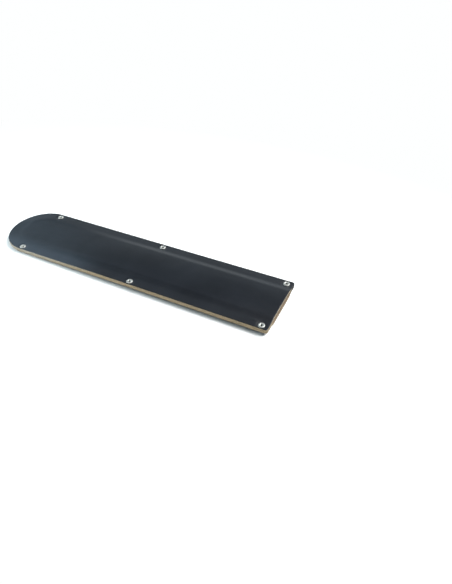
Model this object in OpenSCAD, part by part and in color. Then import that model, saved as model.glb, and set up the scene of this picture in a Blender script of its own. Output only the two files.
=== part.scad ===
// Riveted leather blade guard for a chef's knife: two moulded leather panels, open at the
// mouth, held along both sides by hollow rivets clenched over washers.
// X runs from the round tip to the mouth, Y from the edge side to the spine side, Z is up.
// The origin is under the middle of the guard, on the face that it lies on.

/* [Guard] */
// Length from the round tip to the mouth
guard_length = 290; // [220:1:360]
// Width across both seams
guard_width = 63; // [54:1:80]
// Radius of the two corners at the mouth
corner_r = 2; // [1:0.5:4]

/* [Leather] */
// Thickness of each panel
leather_t = 2.1; // [1.6:0.1:2.8]
// Bevel along the outer edge of each panel
edge_bevel = 0.4; // [0.2:0.1:0.7]
// Bevel along the edge where the two panels meet
parting_bevel = 0.15; // [0.05:0.05:0.3]

/* [Pocket] */
// Clear height of the pocket from the middle rivets to the mouth
pocket_h = 4.15; // [3.6:0.05:8]
// Clear height of the pocket round the tip, on the edge side
tip_pocket_h = 1.6; // [1.4:0.1:3]
// Width of the moulded slope between the flat seam and the pocket
slope_w = 7; // [5:0.5:9]
// Flat leather between a rivet's head and the slope
seam_spare = 0.4; // [0.2:0.1:1.5]
// How much lower the edge side's seam lies at the tip than at the mouth
tip_droop = 1; // [0.2:0.1:1.5]

/* [Rivets] */
// Distance of the rivets from the spine side of the guard
spine_inset = 4.7; // [3.6:0.1:5]
// Distance of the rivets from the edge side of the guard
edge_inset = 3.7; // [3.6:0.1:5]
// Distance of the last rivets from the mouth
mouth_inset = 6.2; // [4:0.1:8]
// Distance of the first rivets from the start of the round tip, towards the mouth
tip_offset = 2.1; // [0:0.1:10]
// Diameter of the head
head_d = 5.8; // [5:0.1:6.6]
// Height of the head's crown
head_h = 0.9; // [0.6:0.05:1.2]
// Thickness of the head at its rim
head_rim_h = 0.25; // [0.15:0.05:0.4]
// Outer diameter of the tube
shank_d = 3; // [2.6:0.1:3.4]
// Wall of the tube
shank_wall = 0.35; // [0.2:0.05:0.5]
// Diameter of the clenched end
clench_d = 4.4; // [4:0.1:5]
// Height of the clenched end
clench_h = 0.5; // [0.3:0.05:0.7]
// Thickness of the clenched end at its rim
clench_rim_h = 0.1; // [0.05:0.05:0.25]
// Diameter of the washer
washer_d = 5.8; // [5.2:0.1:6.6]
// Thickness of the washer
washer_t = 0.4; // [0.35:0.05:0.7]
// How deep the head and the washer are pressed into the leather
seat_depth = 0.3; // [0.1:0.05:0.35]

/* [Clearances] */
// Between a rivet's tube and the leather or washer round it
shank_gap = 0.05; // [0.02:0.01:0.15]
// Round a head or washer in the dent that it has pressed
seat_gap = 0.1; // [0.05:0.05:0.25]
// Between the lowest clenched rivet end and the face that the guard lies on
floor_gap = 0.7; // [0.2:0.1:1]

/* [Hidden] */
SIDES = ["spine", "edge"];
SPOTS = ["tip", "middle", "mouth"];

leather_colour = "#2b2d32";
nickel_colour = "#c9cbc8";
steel_colour = "#b4b6b4";

$fn = 64;
arc_steps = 30;
corner_steps = 4;
taper_steps = 12;
slope_steps = 6;
cut = 1;

half_w = guard_width / 2;
mouth_x = guard_length / 2;
tip_x = half_w - guard_length / 2;

head_r = head_d / 2;
washer_r = washer_d / 2;
shank_r = shank_d / 2;
bore_r = shank_r - shank_wall;
press_r = max(head_r, washer_r) + seat_gap;
grip = 2 * leather_t - 2 * seat_depth;
clench_reach = washer_t - seat_depth + clench_h;

rivet_y = [half_w - spine_inset, edge_inset - half_w];
first_x = tip_x + tip_offset;
last_x = mouth_x - mouth_inset;
rivet_x = [first_x, (first_x + last_x) / 2, last_x];

seam_w = max(spine_inset, edge_inset) + press_r + seam_spare;
pocket_d = seam_w + slope_w;
taper_from = rivet_x[0] + press_r + seam_spare;
taper_to = rivet_x[1] - press_r - seam_spare;

// Eased step from 0 to 1
function ease(u) = let (c = min(1, max(0, u))) c * c * (3 - 2 * c);

// Share of the way from the tip's form to the mouth's form at x
function taper(x) = ease((x - taper_from) / (taper_to - taper_from));

// Height of the seam's underside above the face that the guard lies on: the same all over
// the mouth's half, and twisted down towards the edge side at the tip
tip_lift = clench_reach + floor_gap;
mouth_lift = tip_lift + tip_droop;
function edge_share(y) = (rivet_y[0] - y) / (rivet_y[0] - rivet_y[1]);
function seam_lift(x, y) = mouth_lift - tip_droop * (1 - taper(x)) * edge_share(y);

// How far the front panel rises from the seam to the pocket
tip_rise = tip_pocket_h - tip_lift;
mouth_rise = pocket_h - mouth_lift;
function front_rise(x) = tip_rise + (mouth_rise - tip_rise) * taper(x);

// Share of the way up the slope at distance d from the guard's side
function slope(d) = ease((d - seam_w) / slope_w);

// Underside of each panel: the back panel's pocket lies flat at z = 0
function back_z(x, y, d) = seam_lift(x, y) * (1 - slope(d));
function front_z(x, y, d) = seam_lift(x, y) + leather_t + front_rise(x) * slope(d);
function panel_z(front, x, y, d) = front ? front_z(x, y, d) : back_z(x, y, d);

// Cross-sections from the mouth to the start of the round tip, as [x, how far the corner
// has drawn the side in]
stations = concat(
    [for (i = [0:corner_steps]) let (a = 90 - 90 * i / corner_steps)
        [mouth_x - corner_r * (1 - sin(a)), corner_r * (1 - cos(a))]],
    [for (i = [0:taper_steps]) [taper_to + (taper_from - taper_to) * i / taper_steps, 0]],
    [[tip_x, 0]]
);
last = len(stations) - 1;

// Lines that run inwards from the guard's outline, along the spine side, round the tip and
// back along the edge side: [point on the side, inward direction, drawn-in]
lines = concat(
    [for (i = [0:last]) [[stations[i][0], half_w], [0, -1], stations[i][1]]],
    [for (i = [1:arc_steps - 1]) let (a = 90 + 180 * i / arc_steps, out = [cos(a), sin(a)])
        [[tip_x, 0] + half_w * out, -out, 0]],
    [for (i = [last:-1:0]) [[stations[i][0], -half_w], [0, 1], stations[i][1]]]
);

function on_line(l, d) = l[0] + l[1] * d;
function lift_to(p, z) = [p[0], p[1], z];

// Point of a panel on line l, at distance d from the side and height h above its underside
function skin(front, l, d, h) =
    let (p = on_line(l, d)) lift_to(p, panel_z(front, p[0], p[1], d) + h);

// Section of a panel on line l: over the top from the pocket to the side, round the bevelled
// edge, and back underneath
function section(front, l, top_bevel, low_bevel) = concat(
    [for (i = [slope_steps:-1:0]) skin(front, l, seam_w + slope_w * i / slope_steps, leather_t)],
    [skin(front, l, l[2] + top_bevel, leather_t),
     skin(front, l, l[2], leather_t - top_bevel),
     skin(front, l, l[2], low_bevel),
     skin(front, l, l[2] + low_bevel, 0)],
    [for (i = [0:slope_steps]) skin(front, l, seam_w + slope_w * i / slope_steps, 0)]
);
rows = 2 * slope_steps + 6;

end = len(lines) - 1;

function at(k, r) = k * rows + r;

// Two triangles between four corners, parted from a to c
function patch(a, b, c, d) = [[a, b, c], [a, c, d]];

// Skin between two lines and two rows, parted alike on a panel's top and its underside
function skin_patch(k, r) = r < rows / 2
    ? patch(at(k, r), at(k + 1, r), at(k + 1, r + 1), at(k, r + 1))
    : patch(at(k + 1, r), at(k + 1, r + 1), at(k, r + 1), at(k, r));

// Flat floor or roof of the pocket, from side to side, along row r
function across(r) = concat(
    [for (k = [0:last - 1]) each patch(at(k, r), at(end - k, r), at(end - k - 1, r), at(k + 1, r))],
    [[for (k = [end - last:-1:last]) at(k, r)]]
);
function flipped(faces) = [for (f = faces) [for (i = [len(f) - 1:-1:0]) f[i]]];

// Cut end of the leather at line k: along the slope, then round the edge
function cut_end(k) = concat(
    [for (r = [0:slope_steps - 1]) [at(k, r), at(k, r + 1), at(k, rows - 2 - r), at(k, rows - 1 - r)]],
    [[for (r = [slope_steps:rows - 1 - slope_steps]) at(k, r)]]
);

// Moulded leather sheet of even thickness, flat along the seams and raised over the pocket
module moulded_panel(front) {
    top_bevel = front ? edge_bevel : parting_bevel;
    low_bevel = front ? parting_bevel : edge_bevel;
    points = [for (l = lines) each section(front, l, top_bevel, low_bevel)];
    skins = [for (k = [0:end - 1], r = [0:rows - 2]) each skin_patch(k, r)];
    middle = [[at(0, 0), at(0, rows - 1), at(end, rows - 1), at(end, 0)]];
    mouth = concat(cut_end(0), middle, flipped(cut_end(end)));
    polyhedron(points, concat(skins, across(0), flipped(across(rows - 1)), mouth), convexity = 4);
}

// Holes for the rivets' tubes and the dents that heads or washers have pressed
module rivet_seats(front) {
    for (x = rivet_x, y = rivet_y) {
        translate([x, y, seam_lift(x, y)]) {
            translate([0, 0, -cut]) cylinder(r = shank_r + shank_gap, h = 2 * leather_t + 2 * cut);
            if (front)
                translate([0, 0, 2 * leather_t - seat_depth])
                    cylinder(r = head_r + seat_gap, h = seat_depth + cut);
            else
                translate([0, 0, -cut]) cylinder(r = washer_r + seat_gap, h = seat_depth + cut);
        }
    }
}

module front_panel() {
    color(leather_colour) difference() {
        moulded_panel(true);
        rivet_seats(true);
    }
}

module back_panel() {
    color(leather_colour) difference() {
        moulded_panel(false);
        rivet_seats(false);
    }
}

// Half section of a ring with a rounded crown, standing on y = 0
module crown(inner_r, outer_r, rim_h, crown_h) {
    half = (outer_r - inner_r) / 2;
    rise = crown_h - rim_h;
    arc_r = (half * half + rise * rise) / (2 * rise);
    intersection() {
        translate([inner_r + half, crown_h - arc_r]) circle(r = arc_r);
        translate([inner_r, 0]) square([outer_r - inner_r, crown_h]);
    }
}

// Hollow rivet: crowned head on the front, tube through both panels, end clenched outwards
module rivet() {
    color(nickel_colour) rotate_extrude() {
        crown(bore_r, head_r, head_rim_h, head_h);
        translate([bore_r, -grip - washer_t]) square([shank_wall, grip + washer_t + head_rim_h / 2]);
        translate([0, -grip - washer_t]) mirror([0, 1])
            crown(bore_r, clench_d / 2, clench_rim_h, clench_h);
    }
}

// Washer under the clenched end, with a rounded outer rim on the side that shows
module washer() {
    color(steel_colour) rotate_extrude() {
        translate([0, -grip - washer_t]) difference() {
            translate([shank_r + shank_gap, 0]) square([washer_r - shank_r - shank_gap, washer_t]);
            translate([washer_r - washer_t / 2, -cut]) difference() {
                square([washer_t, washer_t / 2 + cut]);
                translate([0, washer_t / 2 + cut]) circle(r = washer_t / 2);
            }
        }
    }
}

// Puts a rivet piece on its seat on the front panel
module at_seat(side, spot) {
    x = rivet_x[spot];
    y = rivet_y[side];
    translate([x, y, seam_lift(x, y) + 2 * leather_t - seat_depth]) children();
}

front_panel();
back_panel();
for (side = [0:1], spot = [0:2]) {
    at_seat(side, spot) rivet();
    at_seat(side, spot) washer();
}
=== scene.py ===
from itertools import chain
from math import cos, exp, hypot, pi, radians, sin

import bmesh
import bpy
from mathutils import Matrix, Vector, noise


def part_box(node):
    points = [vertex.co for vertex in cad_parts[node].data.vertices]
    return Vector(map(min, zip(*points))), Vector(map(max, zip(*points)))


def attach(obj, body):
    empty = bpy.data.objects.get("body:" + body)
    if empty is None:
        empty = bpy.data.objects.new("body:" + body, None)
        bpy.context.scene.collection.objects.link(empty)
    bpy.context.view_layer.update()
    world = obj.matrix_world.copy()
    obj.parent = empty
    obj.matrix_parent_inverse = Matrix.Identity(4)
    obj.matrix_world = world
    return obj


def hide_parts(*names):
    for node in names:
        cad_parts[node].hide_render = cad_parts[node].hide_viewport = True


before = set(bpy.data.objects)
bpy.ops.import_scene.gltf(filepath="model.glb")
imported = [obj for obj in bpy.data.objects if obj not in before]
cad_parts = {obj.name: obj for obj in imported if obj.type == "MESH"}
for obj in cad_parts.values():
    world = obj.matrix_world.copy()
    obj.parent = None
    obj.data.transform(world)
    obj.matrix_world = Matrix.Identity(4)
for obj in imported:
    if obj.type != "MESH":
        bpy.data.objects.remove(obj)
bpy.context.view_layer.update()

MM = 0.001

# outline of the guard
half_width = 31.5 * MM
mouth_x = 145 * MM
tip_x = half_width - mouth_x
mouth_corner = 2 * MM

# leather
leather = 2.1 * MM
outer_bevel = 0.4 * MM
inner_bevel = 0.18 * MM
cell = 0.75 * MM

# moulded form
mouth_lift = 2.3 * MM
tip_droop = 1.0 * MM
tip_rise = 0.3 * MM
mouth_rise = 1.85 * MM
seam_width = 8.1 * MM
slope_width = 7 * MM
taper_from = -108 * MM
taper_to = 10.3 * MM

# rivets and washers
sides = ("spine", "edge")
spots = ("tip", "middle", "mouth")
spine_rivets_y = 26.8 * MM
edge_rivets_y = -27.8 * MM
seat_depth = 0.3 * MM
head_radius = 2.9 * MM
head_height = 0.9 * MM
tube_radius = 1.5 * MM
bore_radius = 1.15 * MM
throat_radius = 0.85 * MM
washer_thickness = 0.4 * MM
fit_gap = 0.05 * MM


# shader maths
class Value:
    """One output in a node tree. Arithmetic on it adds Math nodes."""

    def __init__(self, finish, socket):
        self.finish, self.socket = finish, socket

    def math(self, operation, *others):
        made = self.finish.node("ShaderNodeMath", {"operation": operation},
                                dict(enumerate((self, *others))))
        return Value(self.finish, made.outputs[0])

    def flipped(self, operation, first):
        made = self.finish.node("ShaderNodeMath", {"operation": operation}, {0: first, 1: self})
        return Value(self.finish, made.outputs[0])

    def __add__(self, other):
        return self.math("ADD", other)

    def __radd__(self, other):
        return self.flipped("ADD", other)

    def __sub__(self, other):
        return self.math("SUBTRACT", other)

    def __rsub__(self, other):
        return self.flipped("SUBTRACT", other)

    def __mul__(self, other):
        return self.math("MULTIPLY", other)

    def __rmul__(self, other):
        return self.flipped("MULTIPLY", other)

    def clamp(self):
        return self.math("MAXIMUM", 0.0).math("MINIMUM", 1.0)

    def step(self, low, high):
        """0 below low, 1 above high, eased between them"""
        made = self.finish.node("ShaderNodeMapRange", {"interpolation_type": "SMOOTHSTEP"},
                                {"Value": self, "From Min": low, "From Max": high})
        return Value(self.finish, made.outputs[0])


class Finish:
    """The node tree of a material or of the studio's air"""

    def __init__(self, owner):
        owner.use_nodes = True
        self.owner, self.tree = owner, owner.node_tree
        self.tree.nodes.clear()

    def node(self, kind, settings=None, inputs=None):
        made = self.tree.nodes.new(kind)
        for name, value in (settings or {}).items():
            if name == "stops":
                while len(made.color_ramp.elements) < len(value):
                    made.color_ramp.elements.new(0.5)
                for stop, (place, colour) in zip(made.color_ramp.elements, value):
                    stop.position, stop.color = place, (*colour, 1)
            else:
                setattr(made, name, value)
        for name, value in (inputs or {}).items():
            if isinstance(value, Value):
                self.tree.links.new(value.socket, made.inputs[name])
            else:
                made.inputs[name].default_value = value
        return made

    def out(self, made, name=0):
        return Value(self, made.outputs[name])

    def place(self, stretch=(1, 1, 1), turn=(0, 0, 0)):
        """Object coordinates, stretched and turned"""
        coords = self.out(self.node("ShaderNodeTexCoord"), "Object")
        return self.out(self.node("ShaderNodeMapping", {}, {
            "Vector": coords, "Scale": stretch, "Rotation": turn}))

    def noise(self, where, scale, detail=4.0, rough=0.55, twist=0.0):
        return self.out(self.node("ShaderNodeTexNoise", {}, {
            "Vector": where, "Scale": scale, "Detail": detail, "Roughness": rough,
            "Distortion": twist}))

    def pebbles(self, where, scale):
        """Distance to the creases between the pebbles of the grain"""
        return self.out(self.node("ShaderNodeTexVoronoi", {"feature": "DISTANCE_TO_EDGE"}, {
            "Vector": where, "Scale": scale}), "Distance")

    def mix(self, share, first, second):
        """Colours mixed by share"""
        made = self.node("ShaderNodeMix", {"data_type": "RGBA"})
        for name, value in ((0, share), (6, first), (7, second)):
            if isinstance(value, Value):
                self.tree.links.new(value.socket, made.inputs[name])
            elif name == 0:
                made.inputs[0].default_value = value
            else:
                made.inputs[name].default_value = (*value, 1)
        return Value(self, made.outputs[2])

    def bump(self, height, distance, strength=1.0):
        return self.out(self.node("ShaderNodeBump", {}, {
            "Height": height, "Distance": distance, "Strength": strength}))

    def surface(self, **sockets):
        """Surface with these sockets set, underscores standing for spaces, and the output"""
        made = self.node("ShaderNodeBsdfPrincipled", {}, {
            name.replace("_", " "): value for name, value in sockets.items()})
        self.node("ShaderNodeOutputMaterial", {}, {"Surface": self.out(made)})
        return self.owner


# finishes
def black_grain():
    """Dyed and polished grain side: fine pebbles, cloudy gloss, rubbed sides, and a painted bluish sheen
    on the edge side towards the tip"""
    f = Finish(bpy.data.materials.new("black_grain_leather"))
    where = f.place()
    clouds = f.noise(where, 28, 3)
    fibres = f.noise(where, 260, 5, 0.6)
    cells = f.pebbles(where, 1500)
    pores = f.noise(where, 2600, 2)
    colour = f.mix(clouds.step(0.35, 0.7), (0.0026, 0.0042, 0.0074), (0.0040, 0.0062, 0.0104))
    colour = f.mix(fibres.step(0.45, 0.8) * 0.5, colour, (0.0080, 0.0084, 0.0108))
    split = f.node("ShaderNodeSeparateXYZ", {}, {0: where})
    along, across = f.out(split, 0), f.out(split, 1)
    # painted sheen: a paler bluish colour on the edge side towards the tip stands in for a reflection
    painted_sheen = (0 - across).step(10 * MM, 27 * MM) * (1 - along.step(-60 * MM, -12 * MM))
    colour = f.mix(painted_sheen * (0.6 + fibres * 0.6), colour, (0.022, 0.031, 0.042))
    rubbed = across.math("ABSOLUTE").step(4 * MM, 28 * MM)
    rough = 0.25 + rubbed * 0.07 + clouds * 0.10 + fibres * 0.06
    height = cells.step(0.0, 0.12) * 0.6 + pores * 0.25 + fibres * 0.35
    return f.surface(Base_Color=colour, Roughness=rough, Specular_IOR_Level=0.5,
                     Normal=f.bump(height, 0.04 * MM, 0.5))


def raw_edge():
    """Cut edge: pressed fibres, specks and cut marks; painted light makes it paler and greyer at the
    tip, painted shade darkens it towards the mouth, towards the underside and on the end faces at the
    mouth, nearly black at their spine corner"""
    f = Finish(bpy.data.materials.new("raw_cut_edge"))
    where = f.place()
    split = f.node("ShaderNodeSeparateXYZ", {}, {0: where})
    along, across, height_up = (f.out(split, n) for n in range(3))
    fibres = f.noise(f.place((1, 1, 5)), 420, 6, 0.65)
    blotches = f.noise(f.place((1, 1, 1.5)), 90, 3)
    marks = f.noise(f.place((1, 1, 0.12), (0, radians(28), 0)), 900, 2)
    specks = f.noise(where, 3200, 2)
    # painted light: paler, greyer tan towards the tip
    painted_tip_light = 1 - along.step(-110 * MM, -10 * MM)
    tan = f.mix(painted_tip_light * 0.8, (0.40, 0.315, 0.19), (0.46, 0.43, 0.355))
    # painted shade: darker tan towards the mouth
    tan = f.mix(along.step(20 * MM, 140 * MM) * 0.6, tan, (0.33, 0.26, 0.16))
    tan = f.mix(blotches.step(0.4, 0.7) * 0.35, tan, (0.45, 0.32, 0.215))
    tan = f.mix(fibres.step(0.42, 0.62) * 0.35, tan, (0.27, 0.21, 0.13))
    tan = f.mix(specks.step(0.52, 0.70) * 0.35, tan, (0.24, 0.18, 0.11))
    tan = f.mix(marks.step(0.5, 0.75) * 0.25, tan, (0.56, 0.48, 0.35))
    # painted shade: darker towards the underside, where the floor's shade falls
    low = 1 - height_up.step(1.8 * MM, 4.6 * MM)
    tan = f.mix(low * 0.30, tan, (0.21, 0.16, 0.105))
    # painted shade: darker end faces at the mouth, nearly black at their spine corner
    painted_mouth_shade = along.step(mouth_x - 1.2 * MM, mouth_x - 0.3 * MM)
    tan = f.mix(painted_mouth_shade * 0.55, tan, (0.10, 0.085, 0.055))
    tan = f.mix(painted_mouth_shade * across.step(19 * MM, 25 * MM), tan, (0.022, 0.021, 0.021))
    rough = 0.72 + fibres * 0.2
    height = fibres * 0.7 + marks * 0.4 - specks * 0.3
    return f.surface(Base_Color=tan, Roughness=rough, Specular_IOR_Level=0.3,
                     Normal=f.bump(height, 0.18 * MM, 0.8))


def flesh_side():
    """Inside of the pocket: loose brushed fibres"""
    f = Finish(bpy.data.materials.new("flesh_side"))
    where = f.place()
    nap = f.noise(f.place((1, 2.2, 2.2)), 900, 6, 0.7, 0.6)
    clouds = f.noise(where, 70, 3)
    colour = f.mix(clouds, (0.115, 0.08, 0.055), (0.19, 0.14, 0.10))
    colour = f.mix(nap.step(0.4, 0.7) * 0.6, colour, (0.27, 0.21, 0.155))
    return f.surface(Base_Color=colour, Roughness=0.86 + nap * 0.1, Specular_IOR_Level=0.2,
                     Normal=f.bump(nap, 0.25 * MM, 0.9))


def nickel(name, colour, grain):
    """Plated metal with fine scratches and a little dulling"""
    f = Finish(bpy.data.materials.new(name))
    where = f.place()
    dull = f.noise(where, 700, 4)
    scratches = f.noise(f.place((1, 6, 1), (0, 0, radians(35))), 2400, 3)
    shade = f.mix(dull.step(0.4, 0.75) * 0.35, colour, tuple(c * 0.72 for c in colour))
    rough = grain + dull * 0.12 + scratches * 0.10
    return f.surface(Base_Color=shade, Roughness=rough, Metallic=1.0,
                     Normal=f.bump(scratches * 0.5 + dull * 0.5, 0.03 * MM, 0.5))


# modelling helpers
def start_fresh():
    if bpy.context.object and bpy.context.object.mode != "OBJECT":
        bpy.ops.object.mode_set(mode="OBJECT")
    bpy.ops.object.select_all(action="DESELECT")


def work_on(piece):
    start_fresh()
    piece.select_set(True)
    bpy.context.view_layer.objects.active = piece


def pick(piece, wanted, kind="verts"):
    """Selects what wanted accepts among the verts, edges or faces of the piece in edit mode"""
    bpy.ops.mesh.select_mode(type={"verts": "VERT", "edges": "EDGE", "faces": "FACE"}[kind])
    net = bmesh.from_edit_mesh(piece.data)
    for part in chain(net.verts, net.edges, net.faces):
        part.select_set(False)
    for part in getattr(net, kind):
        if wanted(part):
            part.select_set(True)
    net.select_flush_mode()
    bmesh.update_edit_mesh(piece.data)


def apply_modifier(piece, kind, **settings):
    work_on(piece)
    modifier = piece.modifiers.new(kind.title(), kind)
    for name, value in settings.items():
        setattr(modifier, name, value)
    bpy.ops.object.modifier_apply(modifier=modifier.name)


def ease(u):
    u = min(1.0, max(0.0, u))
    return u * u * (3 - 2 * u)


def inwards(x, y):
    """How far a point of the guard lies inside its outline"""
    return half_width - (abs(y) if x > tip_x else hypot(x - tip_x, y))


# moulded form
def taper(x):
    return ease((x - taper_from) / (taper_to - taper_from))


def spine_tilt(x, y):
    """The spine side's seam falls a little towards the border"""
    if y <= 0:
        return 0.0
    inner, border = 0.2 * MM, -0.2 * MM
    share = min(inwards(x, y), seam_width + slope_width) / seam_width
    return (border + (inner - border) * share) * ease(y / (12 * MM)) * (1 - slope(x, y))


def seam_lift(x, y):
    """Height of the seam: level along the mouth's half, lower on the edge side at the tip"""
    edge_share = (spine_rivets_y - y) / (spine_rivets_y - edge_rivets_y)
    return mouth_lift - tip_droop * (1 - taper(x)) * edge_share + spine_tilt(x, y)


def slope(x, y):
    return ease((inwards(x, y) - seam_width) / slope_width)


def hand_wave(x, y, seed=3):
    """Slight unevenness of leather moulded by hand"""
    broad = noise.noise(Vector((x * 22, y * 30, seed)))
    fine = noise.noise(Vector((x * 90, y * 90, seed)))
    return 0.16 * MM * broad + 0.05 * MM * fine


def crease(x, y):
    """Small fold that the last rivet has pushed up beside it on the edge side"""
    height, length, width = 0.3 * MM, 2.2 * MM, 0.9 * MM
    along, across = (x - 131.5 * MM) / length, (y + 24.4 * MM) / width
    return height * exp(-along * along - across * across)


def front_height(x, y):
    rise = tip_rise + (mouth_rise - tip_rise) * taper(x)
    crown_middle, crown_fall = 0.1 * MM, 0.4 * MM
    crown_half = half_width - seam_width - slope_width
    crown = (crown_middle - crown_fall * (y / crown_half) ** 2) * taper(x)
    draped = (rise + crown + hand_wave(x, y) - crown_middle) * slope(x, y)
    return seam_lift(x, y) + 2 * leather + draped + crease(x, y)


def back_height(x, y):
    return seam_lift(x, y) * (1 - slope(x, y))


# leather
def flat_blank(name):
    """Flat sheet of square cells with a round tip and rounded corners at the mouth"""
    start_fresh()
    straight = mouth_x - tip_x
    columns, rows = round(straight / cell), 2 * round(half_width / cell)
    bpy.ops.mesh.primitive_grid_add(x_subdivisions=columns, y_subdivisions=rows, size=1,
                                    location=((tip_x + mouth_x) / 2, 0, 0))
    piece = bpy.context.object
    piece.name = piece.data.name = name
    piece.scale = (straight, 2 * half_width, 1)
    bpy.ops.object.transform_apply(location=True, rotation=True, scale=True)
    bpy.ops.object.mode_set(mode="EDIT")
    close = cell / 4
    pick(piece, lambda e: all(abs(v.co.x - tip_x) < close and v.co.y > -close for v in e.verts), "edges")
    bpy.ops.mesh.spin(steps=round(pi * half_width / cell), angle=-pi, center=(tip_x, 0, 0),
                      axis=(0, 0, 1))
    bpy.ops.mesh.select_all(action="SELECT")
    bpy.ops.mesh.remove_doubles(threshold=close / 10)
    bpy.ops.object.mode_set(mode="OBJECT")
    for vertex in piece.data.vertices:
        x, y, _ = vertex.co
        dx, dy = x - (mouth_x - mouth_corner), abs(y) - (half_width - mouth_corner)
        if dx > 0 and dy > 0:
            shrink = max(dx, dy) / hypot(dx, dy)
            vertex.co.x = mouth_x - mouth_corner + dx * shrink
            vertex.co.y = (half_width - mouth_corner + dy * shrink) * (1 if y > 0 else -1)
    return piece


def leather_panel(name, height, outward, finishes, seats):
    """One panel: blank moulded to height, given its thickness, bevelled, punched and pressed"""
    piece = flat_blank(name)
    for vertex in piece.data.vertices:
        vertex.co.z = height(vertex.co.x, vertex.co.y)
    facing = sum(face.normal.z for face in piece.data.polygons)
    if facing * outward < 0:
        work_on(piece)
        bpy.ops.object.mode_set(mode="EDIT")
        bpy.ops.mesh.select_all(action="SELECT")
        bpy.ops.mesh.flip_normals()
        bpy.ops.object.mode_set(mode="OBJECT")
    for finish in finishes:
        piece.data.materials.append(finish)
    apply_modifier(piece, "SOLIDIFY", thickness=leather, offset=-1, use_even_offset=True,
                   material_offset=1, material_offset_rim=2)
    bpy.ops.object.mode_set(mode="EDIT")
    for partner, width, steps in ((0, outer_bevel, 3), (1, inner_bevel, 2)):
        pick(piece, lambda e: {f.material_index for f in e.link_faces} == {partner, 2}, "edges")
        bpy.ops.mesh.bevel(offset=width, segments=steps, affect="EDGES", material=2)
    bpy.ops.object.mode_set(mode="OBJECT")
    for face in piece.data.polygons:
        if face.material_index == 2 and face.normal.z * outward > 0.6:
            face.material_index = 0
    punch(piece, seats)
    press(piece, seats, outward)
    work_on(piece)
    bpy.ops.object.shade_smooth_by_angle(angle=radians(32))
    return piece


def punch(piece, seats):
    """Holes for the rivets' tubes"""
    start_fresh()
    punches = []
    for x, y in seats:
        bpy.ops.mesh.primitive_cylinder_add(vertices=32, radius=tube_radius + fit_gap,
                                            depth=30 * MM, location=(x, y, 0))
        bpy.ops.object.transform_apply(location=True, rotation=True, scale=True)
        cutter = bpy.context.object
        for finish in piece.data.materials:
            cutter.data.materials.append(finish)
        for face in cutter.data.polygons:
            face.material_index = 2
        punches.append(cutter)
    start_fresh()
    for cutter in punches:
        cutter.select_set(True)
    bpy.context.view_layer.objects.active = punches[0]
    bpy.ops.object.join()
    apply_modifier(piece, "BOOLEAN", operation="DIFFERENCE", object=punches[0], solver="EXACT")
    bpy.data.objects.remove(punches[0])


def press(piece, seats, outward):
    """Outer face drawn down round each rivet"""
    pressed, reach = head_radius + fit_gap, 2.6 * MM
    face_depth, rim = 0.7 * MM, 0.05 * MM
    for vertex in piece.data.vertices:
        x, y, z = vertex.co
        outer = front_height(x, y) if outward > 0 else back_height(x, y)
        if abs(z - outer) > face_depth or inwards(x, y) < rim:
            continue
        for sx, sy in seats:
            off = hypot(x - sx, y - sy)
            if off < pressed + reach:
                depth = seat_depth * 1.05 * (1 - ease((off - pressed) / reach))
                vertex.co.z -= outward * depth
                break


# rivets and washers
def turned(name, rings, finish, steps=40, smooth_levels=2):
    """Closed turned piece through rings of (radius, height), rounded by subdivision"""
    start_fresh()
    radius, height = rings[0]
    bpy.ops.mesh.primitive_circle_add(vertices=steps, radius=radius, location=(0, 0, 0))
    piece = bpy.context.object
    piece.name = piece.data.name = name
    bpy.ops.object.mode_set(mode="EDIT")
    bpy.ops.mesh.select_mode(type="EDGE")
    bpy.ops.transform.translate(value=(0, 0, height))
    for next_radius, next_height in rings[1:]:
        bpy.ops.mesh.extrude_edges_move(TRANSFORM_OT_translate={"value": (0, 0, next_height - height)})
        grow = next_radius / radius
        bpy.ops.transform.resize(value=(grow, grow, 1), center_override=(0, 0, next_height))
        radius, height = next_radius, next_height
    pick(piece, lambda e: len(e.link_faces) == 1, "edges")
    bpy.ops.mesh.bridge_edge_loops()
    bpy.ops.mesh.select_all(action="SELECT")
    bpy.ops.mesh.normals_make_consistent(inside=False)
    bpy.ops.object.mode_set(mode="OBJECT")
    apply_modifier(piece, "SUBSURF", levels=smooth_levels, render_levels=smooth_levels)
    piece.data.materials.append(finish)
    work_on(piece)
    bpy.ops.object.shade_smooth()
    return piece


def copy_to(pattern, name, where):
    """Copy of a piece with its own mesh, put in place in the mesh"""
    made = pattern.copy()
    made.data = pattern.data.copy()
    made.name = made.data.name = name
    bpy.context.scene.collection.objects.link(made)
    made.data.transform(Matrix.Translation(where))
    return made


def rivet_rings():
    """Outline of a hollow rivet from the bore up over the head and down the tube to the rolled
    end, with heights from the underside of the head"""
    end = 2 * seat_depth - 2 * leather - washer_thickness
    return [
        (bore_radius, end + 0.2 * MM), (bore_radius, -1.2 * MM), (throat_radius + fit_gap, -0.5 * MM),
        (throat_radius, 0.1 * MM), (1.05 * MM, 0.4 * MM), (1.4 * MM, 0.66 * MM),
        (1.75 * MM, 0.84 * MM), (2.1 * MM, head_height), (2.5 * MM, 0.74 * MM),
        (2.82 * MM, 0.42 * MM), (head_radius, 0.14 * MM), (2.88 * MM, 0.02 * MM), (2.6 * MM, 0),
        (1.7 * MM, 0), (1.52 * MM, -0.06 * MM), (tube_radius, -0.5 * MM),
        (tube_radius, end + 0.06 * MM), (1.54 * MM, end), (2.0 * MM, end),
        (2.18 * MM, end - 0.05 * MM), (2.2 * MM, end - 0.16 * MM), (2.02 * MM, end - 0.4 * MM),
        (1.72 * MM, end - 0.5 * MM), (1.4 * MM, end - 0.42 * MM), (1.2 * MM, end - 0.15 * MM)]


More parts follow.
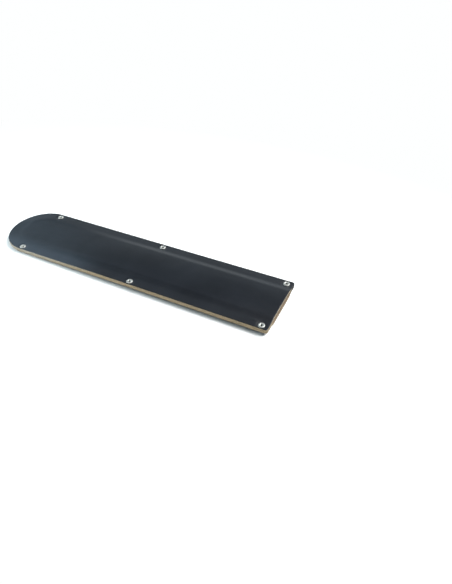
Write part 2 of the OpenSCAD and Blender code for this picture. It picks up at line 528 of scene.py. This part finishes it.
def washer_rings():
    """Outline of a washer, with heights from its upper face down"""
    hole, bottom = 1.56 * MM, -washer_thickness
    return [
        (hole, 0), (hole, bottom / 2), (hole, bottom), (1.7 * MM, bottom), (2.3 * MM, bottom),
        (2.72 * MM, -0.37 * MM), (2.88 * MM, -0.24 * MM), (head_radius, -0.1 * MM),
        (head_radius, 0), (2.7 * MM, 0), (1.7 * MM, 0)]


def settle(piece, node):
    """Makes the piece stand for a solid of the frame"""
    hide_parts(node)
    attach(piece, "root")


# build
grain, edge, flesh = black_grain(), raw_edge(), flesh_side()
nickel_finish = nickel("nickel_plate", (0.43, 0.44, 0.42), 0.50)
steel_finish = nickel("washer_steel", (0.56, 0.57, 0.57), 0.32)

seats = []
for side in sides:
    for spot in spots:
        low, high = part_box(f"rivet_{side}_{spot}")
        seats.append(((low.x + high.x) / 2, (low.y + high.y) / 2))

finishes = (grain, flesh, edge)
settle(leather_panel("front_leather", front_height, 1, finishes, seats), "front_panel")
settle(leather_panel("back_leather", back_height, -1, finishes, seats), "back_panel")

rivet_pattern = turned("rivet_pattern", rivet_rings(), nickel_finish)
washer_pattern = turned("washer_pattern", washer_rings(), steel_finish)
for side in sides:
    for spot in spots:
        name = f"{side}_{spot}"
        low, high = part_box(f"rivet_{name}")
        seat = Vector(((low.x + high.x) / 2, (low.y + high.y) / 2, high.z - head_height))
        settle(copy_to(rivet_pattern, f"hollow_rivet_{name}", seat), f"rivet_{name}")
        seat.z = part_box(f"washer_{name}")[1].z
        settle(copy_to(washer_pattern, f"rivet_washer_{name}", seat), f"washer_{name}")
bpy.data.objects.remove(rivet_pattern)
bpy.data.objects.remove(washer_pattern)


# studio
white = (0.99, 1.0, 1.0, 1)


def pale_floor():
    """White surface that keeps its shadows near the guard and turns plain white further out"""
    f = Finish(bpy.data.materials.new("pale_floor"))
    path = f.node("ShaderNodeLightPath")
    camera_ray, glossy_ray, clear_ray = (
        f.out(path, f"Is {kind} Ray") for kind in ("Camera", "Glossy", "Transmission"))
    seen = camera_ray + glossy_ray + clear_ray
    distance = f.node("ShaderNodeVectorMath", {"operation": "LENGTH"}, {0: f.place((0.6, 1, 1))})
    far = f.out(distance, "Value")
    paint = f.node("ShaderNodeBsdfDiffuse", {}, {"Color": (0.90, 0.92, 0.92, 1)})
    glow = f.node("ShaderNodeEmission", {}, {"Color": white})
    both = f.node("ShaderNodeMixShader", {}, {
        0: seen.clamp() * far.step(0.10, 0.30), 1: f.out(paint), 2: f.out(glow)})
    f.node("ShaderNodeOutputMaterial", {}, {"Surface": f.out(both)})
    start_fresh()
    bpy.ops.mesh.primitive_plane_add(size=8, location=(0, 0, 0))
    floor = bpy.context.object
    floor.name = "studio_floor"
    floor.data.materials.append(f.owner)


def soft_lamp(name, place, aim, size, power, colour=(1, 1, 1)):
    lamp = bpy.data.lights.new(name, "AREA")
    lamp.shape, lamp.size, lamp.size_y = "RECTANGLE", *size
    lamp.energy, lamp.color = power, colour
    holder = bpy.data.objects.new(name, lamp)
    bpy.context.scene.collection.objects.link(holder)
    holder.location = place
    holder.rotation_mode = "QUATERNION"
    holder.rotation_quaternion = (Vector(aim) - Vector(place)).to_track_quat("-Z", "Y")


def studio_air():
    """Light from all round: bright at the horizon, dim above it and in front. The camera sees white."""
    f = Finish(bpy.data.worlds.new("studio_air"))
    direction = f.out(f.node("ShaderNodeTexCoord"), "Generated")
    split = f.node("ShaderNodeSeparateXYZ", {}, {0: direction})
    by_height = f.node("ShaderNodeValToRGB", {"stops": (
        (0.0, (0.95, 0.98, 1.0)), (0.2, (0.774, 0.855, 0.90)), (0.45, (0.215, 0.2375, 0.25)),
        (0.62, (0.069, 0.076, 0.08)), (1.0, (0.14, 0.145, 0.15)))}, {0: f.out(split, 2)})
    by_side = f.node("ShaderNodeMapRange", {}, {
        "Value": f.out(split, 1), "From Min": -0.5, "From Max": 0.25, "To Min": 0.12})
    light = f.mix(f.out(by_side), (0, 0, 0), f.out(by_height))
    air = f.node("ShaderNodeBackground", {}, {"Color": light})
    plain = f.node("ShaderNodeBackground", {}, {"Color": white})
    both = f.node("ShaderNodeMixShader", {}, {
        0: f.out(f.node("ShaderNodeLightPath"), "Is Camera Ray"), 1: f.out(air), 2: f.out(plain)})
    f.node("ShaderNodeOutputWorld", {}, {"Surface": f.out(both)})
    bpy.context.scene.world = f.owner


def camera():
    """Camera at the photo's place, angle and lens"""
    data = bpy.data.cameras.new("camera")
    data.sensor_fit, data.sensor_height, data.lens = "VERTICAL", 36, 28.754
    data.clip_start, data.clip_end = 0.01, 20
    holder = bpy.data.objects.new("camera", data)
    bpy.context.scene.collection.objects.link(holder)
    round_by, up_by, tilt = radians(27.393), radians(41.923), radians(-1.551)
    back = Vector((sin(round_by) * cos(up_by), -cos(round_by) * cos(up_by), sin(up_by)))
    right = (-back).cross(Vector((0, 0, 1))).normalized()
    up = right.cross(-back)
    turned_right = cos(tilt) * right + sin(tilt) * up
    turned_up = cos(tilt) * up - sin(tilt) * right
    view = Matrix((turned_right, turned_up, back)).transposed().to_4x4()
    view.translation = (0.2313, -0.26515, 0.2699)
    holder.matrix_world = view
    bpy.context.scene.camera = holder


pale_floor()
studio_air()
# lamps: name, place, point aimed at, size, power, colour
soft_lamp("left_window", (-0.85, 0.05, 0.42), (-0.1, 0, 0), (1.1, 0.35), 1.0, (0.50, 0.78, 1.0))
soft_lamp("left_front", (-0.32, -0.16, 0.24), (-0.12, 0, 0), (0.2, 0.2), 1.1, (0.86, 0.96, 1.0))
soft_lamp("right_side", (0.75, 0.45, 1.0), (0, 0, 0), (0.8, 0.8), 32)
soft_lamp("back_strip", (-0.2, 1.1, 0.52), (0, 0, 0), (1.6, 0.25), 1.0, (0.8, 0.93, 1.0))
camera()
bpy.context.scene.view_settings.view_transform = "Standard"
